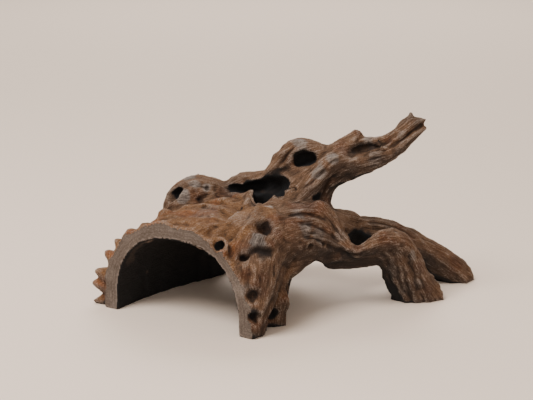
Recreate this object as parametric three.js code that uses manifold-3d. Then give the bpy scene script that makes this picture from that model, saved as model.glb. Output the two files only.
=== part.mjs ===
// A hollow driftwood root, about 350 mm long, standing on the cut ends of its own roots.
//
// The root is one natural piece. A thick hollow log was sawn off at its front left, which leaves a
// wide arched mouth. To the right the log runs out into a knotted shoulder, a leg under the mouth's
// right side, two roots that reach the ground on the right, and a torn branch that rises from the
// top. Water and rot have opened the log above, twice more along the branch, and right under the
// shoulder.
//
// Millimetres. X runs to the right along the root, Y runs to its back, and Z points up.
// The shape is sculpted as a distance field on a grid: limbs are joined softly, hollows are carved
// out, and the surface is then drawn through the grid, thinned, and sawn flat where the real one is.

import * as THREE from "three";
import { edgeTable, triTable } from "three/addons/objects/MarchingCubes.js";
import { mergeVertices } from "three/addons/utils/BufferGeometryUtils.js";
import Module from "manifold-3d";

// Driving dimensions
const CELL = 2.5; // grid spacing of the sculpted field
const FACES = 13400; // triangles kept before the saw cuts
const WALL = 12; // wall of the hollow log at its mouth
const MOUTH_HALF = 62; // half the width of the mouth, inside
const MOUTH_HEIGHT = 73; // height of the mouth, inside
const TRUNK_SQUARE = 2.2; // how square the log's section is: 2 is an ellipse
const MOUTH_SQUARE = 2.6; // the same, for the hollow inside
const MOUTH_LEFT = [-131, -5]; // where the mouth's left inner edge meets the ground
const MOUTH_RIGHT = [-23, -67]; // where its right inner edge meets the ground
const SAW_DEPTH = 200; // size of the blocks that are sawn away
const KNOT_STEPS = 8; // points round a knot's ring

// The block of space that holds the root, with room for the saw cuts
const SPACE = new THREE.Box3(new THREE.Vector3(-175, -125, -10), new THREE.Vector3(215, 130, 182.5));

// How a limb is laid out: rows of x, y, z and radius, or x, y, z, half width and half height
const UP = new THREE.Vector3(0, 0, 1);
const BACK = new THREE.Vector3(0, 1, 0);
const TRUNK_HALF = MOUTH_HALF + WALL;
const TRUNK_TOP = MOUTH_HEIGHT + WALL;

// Limbs of wood, from the heaviest to the finest. blend is how softly a limb joins the rest.
// flutes are the ridges that run along it: how many, how deep, and how fast they wind, in turns per mm.
const LIMBS = {
  log: {
    rows: [
      [-117, -98, 0, TRUNK_HALF + 1, TRUNK_TOP],
      [-79, -35, 1, TRUNK_HALF + 1, TRUNK_TOP + 1],
      [-52, 8, 3, 68, 88],
      [-24, 40, 6, 57, 89],
      [6, 62, 14, 46, 80],
      [26, 76, 20, 32, 62],
    ],
    square: TRUNK_SQUARE,
    blend: 6,
    flutes: [13, 1.4, 0.001],
  },
  shoulder: {
    rows: [
      [-8, -16, 74, 19],
      [14, -4, 75, 20],
      [32, 8, 75, 19],
      [46, 19, 68, 18],
      [56, 30, 60, 17],
    ],
    blend: 14,
    flutes: [9, 1.2, 0.004],
  },
  crown: {
    rows: [
      [2, 36, 82, 22],
      [20, 40, 94, 20],
      [36, 42, 102, 18],
    ],
    blend: 14,
  },
  frontLeg: {
    rows: [
      [-6, -26, 76, 21],
      [-7, -42, 62, 20],
      [-7, -52, 44, 17],
      [-9, -58, 24, 13.5],
      [-11.5, -60, 8, 11],
      [-11.5, -60, -12, 11],
    ],
    up: BACK,
    blend: 12,
    flutes: [7, 1.6, 0.006],
  },
  frontToe: {
    rows: [
      [1, -38, 52, 13],
      [5, -38, 36, 8.5],
      [10.5, -38, 21, 9],
      [8.5, -38, 10, 7.5],
      [8.5, -38, -12, 7.5],
    ],
    up: BACK,
    blend: 7,
    flutes: [5, 1, 0.006],
  },
  knuckle: {
    rows: [
      [4, -28, 62, 18],
      [20, -16, 66, 17],
      [38, -5, 62, 14],
      [52, 3, 57, 12],
    ],
    blend: 10,
    flutes: [9, 1.6, 0.01],
  },
  gusset: {
    rows: [
      [11, -38, 39, 7.5],
      [15, -30, 42.5, 8],
      [19.5, -24, 45, 8.5],
      [25, -16, 48, 9],
      [31, -8, 51, 10],
    ],
    blend: 5,
  },
  web: {
    rows: [
      [42, 0, 62, 14],
      [56, 4, 48, 12.5],
      [68, 8, 42.5, 11.5],
      [86, 12, 46, 11],
      [102, 16, 50, 13],
    ],
    blend: 10,
    flutes: [7, 0.8, 0.004],
  },
  band: {
    rows: [
      [46, 9, 87, 9],
      [57, 7, 76, 8],
      [64, 4, 66, 7.5],
      [71, 0, 57, 7],
      [79, -2, 52, 6.5],
      [87, -1, 56, 6.5],
      [97, 3, 61, 7.5],
      [110, 9, 60, 10],
      [122, 14, 52, 9],
      [132, 18, 36, 7],
      [142, 22, 16, 6],
    ],
    blend: 4,
    flutes: [5, 0.8, 0.01],
  },
  rightLeg: {
    rows: [
      [104, 13, 52, 13, 12],
      [114, 16, 43, 16, 13],
      [121, 19, 28, 17.5, 13],
      [128, 22, 14, 19.5, 13],
      [135, 26, 3, 24, 15],
      [139, 28, -12, 26, 17],
    ],
    up: BACK,
    blend: 6,
    flutes: [9, 2, 0.003],
  },
  backRoot: {
    rows: [
      [48, 34, 66, 16],
      [76, 45, 57, 15],
      [94, 51, 53.5, 14],
      [110, 56, 49.5, 14.5],
      [128, 61, 42, 14.5],
      [142, 65, 33, 14.5],
      [156, 69, 23.5, 15],
      [171, 74, 13.5, 14.5],
      [181, 77, 6, 14],
      [184, 78, 0, 14],
    ],
    blend: 12,
    flutes: [7, 1.2, 0.003],
  },
  stub: {
    rows: [
      [-22, 58, 82, 15],
      [-44, 60, 80, 16.5],
      [-56, 62, 83, 20.5],
      [-65, 61, 83, 21],
      [-73, 59, 80, 19],
    ],
    blend: 8,
    flutes: [9, 2, 0.006],
  },
  stubSpur: {
    rows: [
      [-80, 57, 84, 8],
      [-84, 55, 74, 11],
      [-86, 54, 62, 12],
    ],
    blend: 8,
  },
  branch: {
    rows: [
      [32, 44, 98, 19],
      [48, 42, 112, 15.5],
      [65, 39, 122, 15],
      [83, 37, 128, 13],
      [97, 37, 132.5, 12.5],
      [107, 37, 136, 11],
      [116, 37, 143, 10],
      [124, 37, 149.5, 8.5],
      [132, 37, 156, 5.5],
    ],
    blend: 9,
    flutes: [7, 1.4, 0.008],
  },
  tipUpper: {
    rows: [
      [122, 37, 154, 5.5],
      [132, 37, 160, 4],
      [140, 37, 162.5, 2.2],
    ],
    blend: 3,
  },
  tipLower: {
    rows: [
      [122, 37, 145, 6],
      [132, 36, 151, 4],
      [140, 36, 155, 2.2],
    ],
    blend: 3,
  },
  tipSpike: {
    rows: [
      [120, 37, 152, 5],
      [125, 37, 160, 3.2],
      [127, 37, 167, 1.9],
    ],
    blend: 4,
  },
  ridge: {
    rows: [
      [-34, 61, 88, 9.5],
      [-20, 58, 100, 9.5],
      [-10, 56, 102, 9.5],
      [2, 54, 104, 9.5],
      [10, 51, 112, 10.5],
      [17, 48, 121, 11],
      [24, 46, 129, 11],
      [32, 44, 134.5, 10.5],
      [45, 42, 131, 9.5],
      [54, 41, 128.5, 9],
      [63, 39, 133, 9],
      [72, 38, 138.5, 8],
      [80, 38, 147.5, 6],
    ],
    blend: 5,
    flutes: [5, 1, 0.01],
  },
  lip: {
    rows: [
      [-8, 4, 84, 7],
      [10, 9, 89, 8],
      [24, 18, 92, 8.5],
      [36, 23, 102, 8.5],
      [45, 27, 113, 8.5],
      [56, 29, 125, 8.5],
      [68, 31, 129, 8],
      [80, 31, 126, 8],
      [94, 31, 126, 8],
      [107, 32, 132, 7.5],
      [118, 34, 142, 6.5],
      [130, 36, 152, 4.5],
    ],
    blend: 4,
    flutes: [5, 0.8, 0.01],
  },
  heel: {
    rows: [
      [47, 34, 72, 10],
      [49, 35, 90, 9],
      [56, 36, 105, 8.5],
      [65, 37, 112, 8.5],
      [84, 37, 123, 8.5],
    ],
    blend: 6,
    flutes: [5, 0.8, 0.01],
  },
  brow: {
    rows: [
      [84, 37, 140, 6],
      [96, 36, 141, 5],
      [106, 36, 141.5, 4.5],
      [115, 37, 148, 4.5],
    ],
    blend: 3,
  },
  cheek: {
    rows: [
      [60, 40, 72, 7],
      [74, 41, 73, 6],
      [81, 42, 70.5, 4],
    ],
    blend: 4,
  },
};

// Bark teeth and lumps that stand out of the wood: rows of x, y, z and radius, from root to tip
const TEETH = {
  rimFoot: [[-138, 12, 3, 7], [-147, 13, 3, 4.5], [-154, 13, 2, 2.2]],
  rimLow: [[-137, 12, 15, 8], [-147, 12, 18, 5.5], [-153.5, 12, 20, 2.4]],
  rimMiddle: [[-138, 10, 27, 7], [-145, 11, 29, 5], [-151, 11, 30.5, 2.4]],
  rimUpper: [[-131, 5, 42, 8], [-136, 6, 46, 5.5], [-140.5, 6, 50, 2.6]],
  rimHigh: [[-122, 2, 54, 7], [-127, 2, 58.5, 5], [-130.5, 2, 61.5, 2.8]],
  rimKnob: [[-112, -5, 64, 7], [-115, -5, 68, 6], [-117, -5, 70, 5]],
  rimCrest: [[-101, -10, 71, 7], [-103, -10, 76, 5], [-105, -10, 78.5, 3.4]],
  rimTop: [[-89, -16, 76, 7], [-91, -15, 82, 5], [-92, -14, 84, 3.6]],
  holeLeft: [[-17, 12, 88, 5.5], [-16, 14, 93, 3.6], [-15, 16, 96, 2.2]],
  holeFront: [[6, 12, 88, 6], [7, 13, 95, 3.5], [8, 13, 98, 2]],
  holeRight: [[20, 19, 94, 5], [20, 20, 100, 3.5], [19, 20, 104, 2.2]],
  underNear: [[36, -2, 52, 6], [37, -4, 47, 3.5], [38, -4, 44, 2]],
  underFar: [[52, 4, 46, 6], [54, 4, 41, 3.5], [55, 4, 39, 2]],
  barkLeft: [[-82, 0, 78, 8], [-87, 2, 83, 7], [-89, 4, 85, 5]],
  barkMiddle: [[-52, -34, 74, 9], [-54, -36, 80, 8], [-55, -36, 83, 6]],
  barkRight: [[-22, -20, 80, 10], [-24, -22, 86, 8], [-25, -22, 88, 6]],
};

// Knots: a raised ring round a hole, with its middle, the way it faces, its radius, the ring's
// thickness, and how deep the hole goes
const KNOTS = {
  rimKnot: { middle: [-39, -52, 73], facing: [-0.3, -0.7, 0.65], radius: 7, ring: 2.6, depth: 11 },
  bigKnot: { middle: [0, -36, 82], facing: [-0.1, -0.75, 0.65], radius: 10, ring: 3.6, depth: 7 },
};

// Hollows, each carved out of the wood with a soft edge
const HOLLOWS = {
  mouth: {
    rows: [
      [-112, -98, 0, MOUTH_HALF, MOUTH_HEIGHT],
      [-77, -36, 0, MOUTH_HALF, MOUTH_HEIGHT],
      [-48, 9, 0, 56, 74],
      [-18, 48, 0, 46, 70],
      [8, 88, 0, 38, 56],
      [22, 126, 0, 36, 48],
    ],
    square: MOUTH_SQUARE,
    blend: 2,
  },
  underpass: {
    rows: [
      [72, -70, -4, 45, 36],
      [64, -8, -4, 44, 37],
      [60, 14, -3, 44, 38],
      [54, 40, 0, 46, 50],
      [60, 84, 0, 52, 42],
      [72, 130, 0, 60, 42],
    ],
    square: 2.3,
    blend: 3,
  },
  notch: {
    rows: [
      [38, -44, 34, 7],
      [42, -6, 38, 7.5],
      [46, 30, 42, 10],
    ],
    blend: 2,
  },
  gallery: {
    rows: [
      [-30, 20, 40, 26],
      [0, 30, 54, 24],
      [36, 34, 44, 15],
    ],
    blend: 4,
  },
  topHole: {
    rows: [
      [4, 2, 110, 15, 9.5],
      [5, 14, 107, 16, 10.5],
      [5, 28, 103.5, 16, 11],
      [3, 42, 98.5, 13, 10],
    ],
    blend: 2,
  },
  topSlot: {
    rows: [
      [-34, 52, 95, 5, 2.6],
      [-26, 53, 95, 8, 4],
      [-16, 52, 96, 9, 4.6],
      [-5, 46, 98, 10, 7],
    ],
    blend: 2,
  },
  topWell: {
    rows: [
      [5, 29, 100, 15],
      [2, 32, 82, 17],
      [-4, 34, 60, 18],
    ],
    up: BACK,
    blend: 3,
  },
  stubPocket: {
    rows: [
      [-90, 44, 94, 8],
      [-80, 52, 90, 7],
      [-71, 56, 88, 4],
    ],
    blend: 2,
  },
  branchHole: {
    rows: [
      [32, 14, 132.5, 11.5, 6],
      [33, 24, 130, 12.5, 7],
      [34, 38, 126.5, 9.5, 6],
    ],
    blend: 2,
  },
  branchSlit: {
    rows: [
      [73, 24, 134, 4],
      [84, 27, 136, 4.5],
      [97, 29, 139, 2.8],
    ],
    blend: 1.5,
  },
  window: {
    rows: [
      [79, 0, 64, 5.5],
      [82, 10, 62.5, 9.5],
      [84, 26, 54, 10],
      [82, 34, 36, 12],
    ],
    blend: 2,
  },
  windowTop: {
    rows: [
      [71, 2, 70, 3.6],
      [83, 4, 67, 6],
      [95, 7, 67, 2.8],
    ],
    blend: 2,
  },
  underWeb: {
    rows: [
      [48, -10, 33, 6],
      [60, -8, 34, 11],
      [74, -6, 33, 12],
      [88, -4, 36, 12],
      [100, -1, 38, 7],
    ],
    blend: 3,
  },
  rootSlit: {
    rows: [
      [97, 41, 66, 2.6],
      [107, 43, 65, 3.2],
      [118, 46, 61, 2.6],
    ],
    blend: 2,
  },
  crevice: {
    rows: [
      [27, -12, 84, 2.4],
      [42, -4, 77, 3.4],
      [53, 0, 69, 3.6],
      [61, 0, 60, 2.6],
    ],
    blend: 2,
  },
  barkGroove: {
    rows: [
      [-50, -40, 88, 2.4],
      [-41, -27, 92, 3.4],
      [-32, -13, 94, 2.6],
    ],
    blend: 2,
  },
  stubGroove: {
    rows: [
      [-66, -4, 98, 2.4],
      [-59, 4, 99, 3.2],
      [-52, 12, 100, 2.4],
    ],
    blend: 2,
  },
  kneeCleft: {
    rows: [
      [-16, -60, 68, 2.8],
      [-4, -60, 70, 4],
      [6, -54, 69, 2.8],
    ],
    blend: 2,
  },
  kneePit: {
    rows: [
      [-20, -66, 66, 3.4],
      [-18, -56, 65, 4],
    ],
    blend: 2,
  },
  legPit: {
    rows: [
      [-12, -78, 37, 5.5],
      [-11, -69, 36, 5.5],
    ],
    blend: 2,
  },
  footPit: {
    rows: [
      [-8, -79, 13, 3.8],
      [-11, -69, 20, 4.2],
    ],
    blend: 2,
  },
  toeCleft: {
    rows: [
      [5, -66, 12, 4],
      [4, -46, 13, 4],
    ],
    blend: 2,
  },
};

// Cubic smooth minimum: joins two distances over a band of the given width.
function softMin(a, b, width) {
  const near = Math.max(width - Math.abs(a - b), 0) / width;
  return Math.min(a, b) - (near * near * width) / 4;
}

// A limb or a hollow: a run of short segments along a smooth curve, with a section at each end.
class Limb {
  constructor({ rows, up = UP, square = 2, blend, flutes = [0, 0, 0] }) {
    const middles = rows.map(([x, y, z]) => new THREE.Vector3(x, y, z));
    const halves = rows.map(([, , , half, height = half]) => new THREE.Vector3(half, height, 0));
    const axis = new THREE.CatmullRomCurve3(middles, false, "catmullrom");
    const section = new THREE.CatmullRomCurve3(halves, false, "catmullrom");
    const steps = (rows.length - 1) * 3;
    this.blend = blend;
    this.square = square;
    this.up = up;
    [this.fluteCount, this.fluteDepth, this.fluteTwist] = flutes;
    this.points = axis.getPoints(steps);
    this.sections = section.getPoints(steps);
    this.starts = [0];
    this.reach = 0;
    for (let i = 0; i < steps; i++) {
      this.starts.push(this.starts[i] + this.points[i].distanceTo(this.points[i + 1]));
    }
    for (const s of this.sections) this.reach = Math.max(this.reach, s.x, s.y);
    this.box = new THREE.Box3().setFromPoints(this.points);
    this.box.expandByScalar(this.reach + blend + 2 * CELL);
  }

  // Signed distance from p to the limb's surface, less than zero inside it.
  distance(p) {
    let best = Infinity;
    let index = 0;
    let share = 0;
    for (let i = 0; i + 1 < this.points.length; i++) {
      const a = this.points[i];
      const b = this.points[i + 1];
      const dx = b.x - a.x;
      const dy = b.y - a.y;
      const dz = b.z - a.z;
      const along = (p.x - a.x) * dx + (p.y - a.y) * dy + (p.z - a.z) * dz;
      const t = Math.min(1, Math.max(0, along / (dx * dx + dy * dy + dz * dz)));
      const size = this.sections[i].x + (this.sections[i + 1].x - this.sections[i].x) * t;
      const away = Math.hypot(p.x - a.x - dx * t, p.y - a.y - dy * t, p.z - a.z - dz * t);
      const gap = away - size;
      if (gap < best) {
        best = gap;
        index = i;
        share = t;
      }
    }
    return this.sectionDistance(p, index, share);
  }

  // The same, once the nearest place on the axis is known.
  sectionDistance(p, index, share) {
    const [from, to] = [this.points[index], this.points[index + 1]];
    const tangent = scratch.tangent.subVectors(to, from).normalize();
    const side = scratch.side.crossVectors(tangent, this.up).normalize();
    const over = scratch.over.crossVectors(side, tangent);
    const offset = scratch.offset.lerpVectors(from, to, share).sub(p).negate();
    const half = scratch.half.lerpVectors(this.sections[index], this.sections[index + 1], share);
    const a = offset.dot(side);
    const b = offset.dot(over);
    const c = offset.dot(tangent);
    const least = Math.min(half.x, half.y);
    const n = this.square;
    const u = Math.abs(a) / half.x;
    const v = Math.abs(b) / half.y;
    const w = Math.abs(c) / least;
    const k = Math.pow(Math.pow(u, n) + Math.pow(v, n) + Math.pow(w, n), 1 / n);
    if (k < 1e-3) return -least;
    const slope = Math.hypot(
      Math.pow(u / k, n - 1) / half.x,
      Math.pow(v / k, n - 1) / half.y,
      Math.pow(w / k, n - 1) / least,
    );
    const distance = (k - 1) / slope;
    if (!this.fluteCount) return distance;
    const arc = this.starts[index] + (this.starts[index + 1] - this.starts[index]) * share;
    const sway = 0.3 * Math.sin(arc * 0.07);
    const turn = Math.atan2(b, a) + 2 * Math.PI * this.fluteTwist * arc + sway;
    const coarse = Math.cos(this.fluteCount * turn);
    const fine = 0.6 * Math.cos((2 * this.fluteCount - 3) * turn + 1.7);
    return distance - (this.fluteDepth * (coarse + fine)) / 1.6;
  }
}

const scratch = Object.fromEntries(
  ["tangent", "side", "over", "offset", "half"].map((name) => [name, new THREE.Vector3()]),
);

// Low swellings and dips over the whole surface, as millimetres in or out at p.
function swelling({ x, y, z }) {
  const broad = Math.sin(x * 0.11 + 1.3 * Math.sin(y * 0.07) + 0.4) * Math.sin(y * 0.13 + z * 0.05 + 1.1);
  const across = Math.sin(x * 0.31 + z * 0.17) * Math.sin(y * 0.35 - z * 0.23 + 0.6);
  const small = across * Math.sin(z * 0.33 + x * 0.09);
  return 0.9 * broad + 0.9 * small;
}

// The distance field on its grid.
class Field {
  constructor(space, cell) {
    this.cell = cell;
    this.low = space.min;
    this.count = space.getSize(new THREE.Vector3()).divideScalar(cell).round().addScalar(1);
    this.values = new Float64Array(this.count.x * this.count.y * this.count.z).fill(10 * cell);
  }

  index(i, j, k) {
    return i + this.count.x * (j + this.count.y * k);
  }

  // Calls change(value, point) for each grid point in the box and stores what it returns.
  update(box, change) {
    const p = new THREE.Vector3();
    const end = this.count.clone().subScalar(1);
    const first = box.min.clone().sub(this.low).divideScalar(this.cell).ceil().max(new THREE.Vector3());
    const last = box.max.clone().sub(this.low).divideScalar(this.cell).floor().min(end);
    for (let k = first.z; k <= last.z; k++) {
      for (let j = first.y; j <= last.y; j++) {
        for (let i = first.x; i <= last.x; i++) {
          const at = this.index(i, j, k);
          p.set(i, j, k).multiplyScalar(this.cell).add(this.low);
          this.values[at] = change(this.values[at], p);
        }
      }
    }
  }

  add(limb) {
    this.update(limb.box, (value, p) => softMin(value, limb.distance(p), limb.blend));
  }

  carve(limb) {
    this.update(limb.box, (value, p) => -softMin(-value, limb.distance(p), limb.blend));
  }
}

// The field's surface as a closed geometry, by marching cubes with three.js's own tables.
function surfaceOf(field) {
  const square = [[0, 0], [1, 0], [1, 1], [0, 1]];
  const corners = [0, 1].flatMap((z) => square.map(([x, y]) => [x, y, z]));
  const round = [[0, 1], [1, 2], [3, 2], [0, 3]];
  const edges = [
    ...round,
    ...round.map(([a, b]) => [a + 4, b + 4]),
    ...[0, 1, 2, 3].map((c) => [c, c + 4]),
  ];
  const { x: nx, y: ny, z: nz } = field.count;
  const positions = [];
  const indices = [];
  const made = new Map();
  const vertexOn = (i, j, k, edge) => {
    const [a, b] = edges[edge].map((c) => corners[c].map((step, axis) => step + [i, j, k][axis]));
    const from = field.index(...a);
    const to = field.index(...b);
    const key = from * 3 + (b[0] - a[0] ? 0 : b[1] - a[1] ? 1 : 2);
    if (!made.has(key)) {
      const share = field.values[from] / (field.values[from] - field.values[to]);
      made.set(key, positions.length / 3);
      for (let axis = 0; axis < 3; axis++) {
        const at = a[axis] + (b[axis] - a[axis]) * share;
        positions.push(field.low.getComponent(axis) + field.cell * at);
      }
    }
    return made.get(key);
  };
  for (let k = 0; k + 1 < nz; k++) {
    for (let j = 0; j + 1 < ny; j++) {
      for (let i = 0; i + 1 < nx; i++) {
        let inside = 0;
        corners.forEach(([x, y, z], c) => {
          if (field.values[field.index(i + x, j + y, k + z)] < 0) inside |= 1 << c;
        });
        if (!edgeTable[inside]) continue;
        for (let t = inside * 16; triTable[t] !== -1; t += 3) {
          indices.push(vertexOn(i, j, k, triTable[t]));
          indices.push(vertexOn(i, j, k, triTable[t + 2]));
          indices.push(vertexOn(i, j, k, triTable[t + 1]));
        }
      }
    }
  }
  return new THREE.BufferGeometry()
    .setAttribute("position", new THREE.Float32BufferAttribute(positions, 3))
    .setIndex(indices);
}

// Limits on a collapse: what makes a quadric flat, the cost of an edge's length, how far a face may
// turn (as a cosine), and how thin it may become (its area over its longest side squared)
const FLAT = 1e-3;
const SLIVER_COST = 0.004;
const LEAST_TURN = 0.4;
const LEAST_AREA = 0.04;

// Thins a closed mesh by collapsing its edges, cheapest first. The cost of an edge is how far the
// surface would move, as a quadric, so broad smooth walls give up their triangles before ridges do.
class Thinner {
  constructor(geometry) {
    this.place = Float64Array.from(geometry.getAttribute("position").array);
    this.corners = Int32Array.from(geometry.index.array);
    this.live = this.corners.length / 3;
    const count = this.place.length / 3;
    this.facesOf = Array.from({ length: count }, () => new Set());
    this.corners.forEach((v, i) => this.facesOf[v].add(Math.floor(i / 3)));
    this.quadrics = Array.from({ length: count }, () => new Float64Array(10));
    this.changes = new Int32Array(count);
    this.heap = [];
    for (let f = 0; f < this.live; f++) this.addPlane(f);
    for (let v = 0; v < count; v++) {
      this.neighbours(v).forEach((w) => v < w && this.offer(v, w));
    }
  }

  at(v) {
    return new THREE.Vector3(this.place[3 * v], this.place[3 * v + 1], this.place[3 * v + 2]);
  }

  neighbours(v) {
    const found = new Set();
    for (const f of this.facesOf[v]) {
      for (let c = 3 * f; c < 3 * f + 3; c++) found.add(this.corners[c]);
    }
    found.delete(v);
    return found;
  }

  // Adds the plane of a face, weighed by its area, to the quadrics of its corners.
  addPlane(face) {
    const [a, b, c] = this.corners.subarray(3 * face, 3 * face + 3);
    const from = this.at(a);
    const n = this.at(b).sub(from).cross(this.at(c).sub(from));
    const area = n.length() / 2;
    n.normalize();
    const d = -n.dot(from);
    const plane = [n.x, n.y, n.z, d];
    const terms = plane.flatMap((p, i) => plane.slice(i).map((q) => p * q));
    for (const v of [a, b, c]) terms.forEach((term, i) => (this.quadrics[v][i] += term * area));
  }

  // The best place for the vertex that edge v-w collapses into, and what that costs.
  collapse(v, w) {
    const sum = this.quadrics[v].map((q, i) => q + this.quadrics[w][i]);
    const [xx, xy, xz, xd, yy, yz, yd, zz, zd, dd] = sum;
    const middle = this.at(v).add(this.at(w)).multiplyScalar(0.5);
    const m = new THREE.Matrix3().set(xx, xy, xz, xy, yy, yz, xz, yz, zz);
    const place = middle.clone();
    if (Math.abs(m.determinant()) > FLAT * Math.pow(xx + yy + zz, 3)) {
      const best = new THREE.Vector3(-xd, -yd, -zd).applyMatrix3(m.invert());
      if (best.distanceTo(middle) < this.at(v).distanceTo(this.at(w))) place.copy(best);
    }
    const { x, y, z } = place;
    const squares = xx * x * x + yy * y * y + zz * z * z + dd;
    const products = xy * x * y + xz * x * z + yz * y * z + xd * x + yd * y + zd * z;
    const length = this.at(v).distanceToSquared(this.at(w));
    return { place, cost: Math.max(squares + 2 * products, 0) + SLIVER_COST * length };
  }

  // Puts an edge on the heap.
  offer(v, w) {
    const item = [this.collapse(v, w).cost, v, w, this.changes[v] + this.changes[w]];
    let at = this.heap.push(item) - 1;
    while (at > 0) {
      const parent = (at - 1) >> 1;
      if (this.heap[parent][0] <= item[0]) break;
      this.heap[at] = this.heap[parent];
      at = parent;
    }
    this.heap[at] = item;
  }

  // Takes the cheapest edge off the heap.
  take() {
    const top = this.heap[0];
    const item = this.heap.pop();
    if (!this.heap.length) return top;
    let at = 0;
    for (;;) {
      let child = 2 * at + 1;
      if (child >= this.heap.length) break;
      if (child + 1 < this.heap.length && this.heap[child + 1][0] < this.heap[child][0]) child++;
      if (this.heap[child][0] >= item[0]) break;
      this.heap[at] = this.heap[child];
      at = child;
    }
    this.heap[at] = item;
    return top;
  }

  // Whether moving v and w to place keeps the mesh closed and turns no face over.
  allowed(v, w, place) {
    const near = this.neighbours(w);
    let shared = 0;
    this.neighbours(v).forEach((n) => (shared += near.has(n) ? 1 : 0));
    if (shared !== 2) return false;
    for (const f of [...this.facesOf[v], ...this.facesOf[w]]) {
      const three = [...this.corners.subarray(3 * f, 3 * f + 3)];
      if (three.includes(v) && three.includes(w)) continue;
      const before = new THREE.Triangle(...three.map((c) => this.at(c)));
      const after = new THREE.Triangle(...three.map((c) => (c === v || c === w ? place : this.at(c))));
      const turned = before.getNormal(new THREE.Vector3()).dot(after.getNormal(new THREE.Vector3()));
      const longest = Math.max(
        after.a.distanceToSquared(after.b),
        after.b.distanceToSquared(after.c),
        after.c.distanceToSquared(after.a),
      );
      if (turned < LEAST_TURN || after.getArea() < LEAST_AREA * longest) return false;
    }
    return true;
  }

  // Moves w's faces to v and puts v at place.
  merge(v, w, place) {
    place.toArray(this.place, 3 * v);
    for (const f of this.facesOf[w]) {
      const three = this.corners.subarray(3 * f, 3 * f + 3);
      if (three.includes(v)) {
        three.forEach((c) => c !== w && this.facesOf[c].delete(f));
        this.live--;
      } else {
        three[three.indexOf(w)] = v;
        this.facesOf[v].add(f);
      }
    }
    this.facesOf[w].clear();
    this.quadrics[w].forEach((q, i) => (this.quadrics[v][i] += q));
    this.changes[v] += 1;
    this.changes[w] = -1e9;
  }

  thin(target) {
    while (this.live > target && this.heap.length) {
      const [, v, w, changes] = this.take();
      if (changes !== this.changes[v] + this.changes[w]) continue;
      const { place } = this.collapse(v, w);
      if (!this.allowed(v, w, place)) continue;
      this.merge(v, w, place);
      for (const n of this.neighbours(v)) this.offer(v, n);
    }
    return this;
  }

  geometry() {
    const kept = [...new Set(this.facesOf.flatMap((faces) => [...faces]))].sort((a, b) => a - b);
    const indices = kept.flatMap((f) => [...this.corners.subarray(3 * f, 3 * f + 3)]);
    const loose = new THREE.BufferGeometry()
      .setAttribute("position", new THREE.Float32BufferAttribute(this.place, 3))
      .setIndex(indices);
    return mergeVertices(loose.toNonIndexed(), 1e-4);
  }
}

// A closed geometry as a manifold-3d solid.
function solidOf(geometry) {
  const bare = geometry.clone().deleteAttribute("normal").deleteAttribute("uv");
  const merged = mergeVertices(bare, 1e-4);
  return new wasm.Manifold(
    new wasm.Mesh({
      numProp: 3,
      vertProperties: merged.getAttribute("position").array,
      triVerts: new Uint32Array(merged.index.array),
    }),
  );
}

// A manifold-3d solid as a geometry.
function geometryOf(solid) {
  const mesh = solid.getMesh();
  const positions = [];
  for (let v = 0; v < mesh.numVert; v++) {
    positions.push(...mesh.vertProperties.subarray(v * mesh.numProp, v * mesh.numProp + 3));
  }
  return new THREE.BufferGeometry()
    .setAttribute("position", new THREE.Float32BufferAttribute(positions, 3))
    .setIndex([...mesh.triVerts]);
}

// The block that the saw takes off in front of the mouth, and the one it takes off below the ground.
function sawnAway() {
  const left = new THREE.Vector3(...MOUTH_LEFT, 0);
  const right = new THREE.Vector3(...MOUTH_RIGHT, 0);
  const along = right.clone().sub(left);
  const front = new THREE.BoxGeometry(2 * SAW_DEPTH, SAW_DEPTH, 2 * SAW_DEPTH)
    .translate(0, -SAW_DEPTH / 2, 0)
    .rotateZ(Math.atan2(along.y, along.x))
    .translate((left.x + right.x) / 2, (left.y + right.y) / 2, 0);
  const below = new THREE.BoxGeometry(4 * SAW_DEPTH, 4 * SAW_DEPTH, SAW_DEPTH);
  below.translate(0, 0, -SAW_DEPTH / 2);
  return [front, below];
}

// The raised ring round a knot, and the hole in it.
function knotLimbs({ middle, facing, radius, ring, depth }) {
  const centre = new THREE.Vector3(...middle);
  const out = new THREE.Vector3(...facing).normalize();
  const side = new THREE.Vector3().crossVectors(out, UP).normalize();
  const over = new THREE.Vector3().crossVectors(side, out);
  const round = Array.from({ length: KNOT_STEPS + 1 }, (_, step) => {
    const angle = (2 * Math.PI * step) / KNOT_STEPS;
    const at = centre.clone();
    at.addScaledVector(side, radius * Math.cos(angle)).addScaledVector(over, radius * Math.sin(angle));
    return [...at, ring * (1 + 0.2 * Math.sin(2 * angle))];
  });
  const bore = radius - ring / 2;
  const mouth = centre.clone().addScaledVector(out, depth);
  const end = centre.clone().addScaledVector(out, bore - depth);
  return {
    ring: new Limb({ rows: round, blend: 2 }),
    hole: new Limb({ rows: [[...mouth, bore], [...end, 0.6 * bore]], blend: 2 }),
  };
}

// Sculpts the root: wood first, then its swellings, the hollows, and last its teeth and knots.
function sculpted() {
  const field = new Field(SPACE, CELL);
  const knots = Object.values(KNOTS).map(knotLimbs);
  for (const limb of Object.values(LIMBS)) field.add(new Limb(limb));
  field.update(SPACE, (value, p) => (Math.abs(value) < 4 * CELL ? value - swelling(p) : value));
  for (const hollow of Object.values(HOLLOWS)) field.carve(new Limb(hollow));
  for (const rows of Object.values(TEETH)) field.add(new Limb({ rows, blend: 3 }));
  for (const { ring, hole } of knots) {
    field.add(ring);
    field.carve(hole);
  }
  const border = SPACE.clone().expandByScalar(-1.5 * CELL);
  field.update(SPACE, (value, p) => (border.containsPoint(p) ? value : Math.max(value, CELL)));
  return field;
}

const wasm = await Module();
wasm.setup();

const whole = new Thinner(surfaceOf(sculpted())).thin(FACES).geometry();
const sawn = sawnAway().reduce((solid, block) => solid.subtract(solidOf(block)), solidOf(whole));
const largest = sawn.decompose().reduce((a, b) => (a.volume() > b.volume() ? a : b));
const shape = geometryOf(largest);

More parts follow.
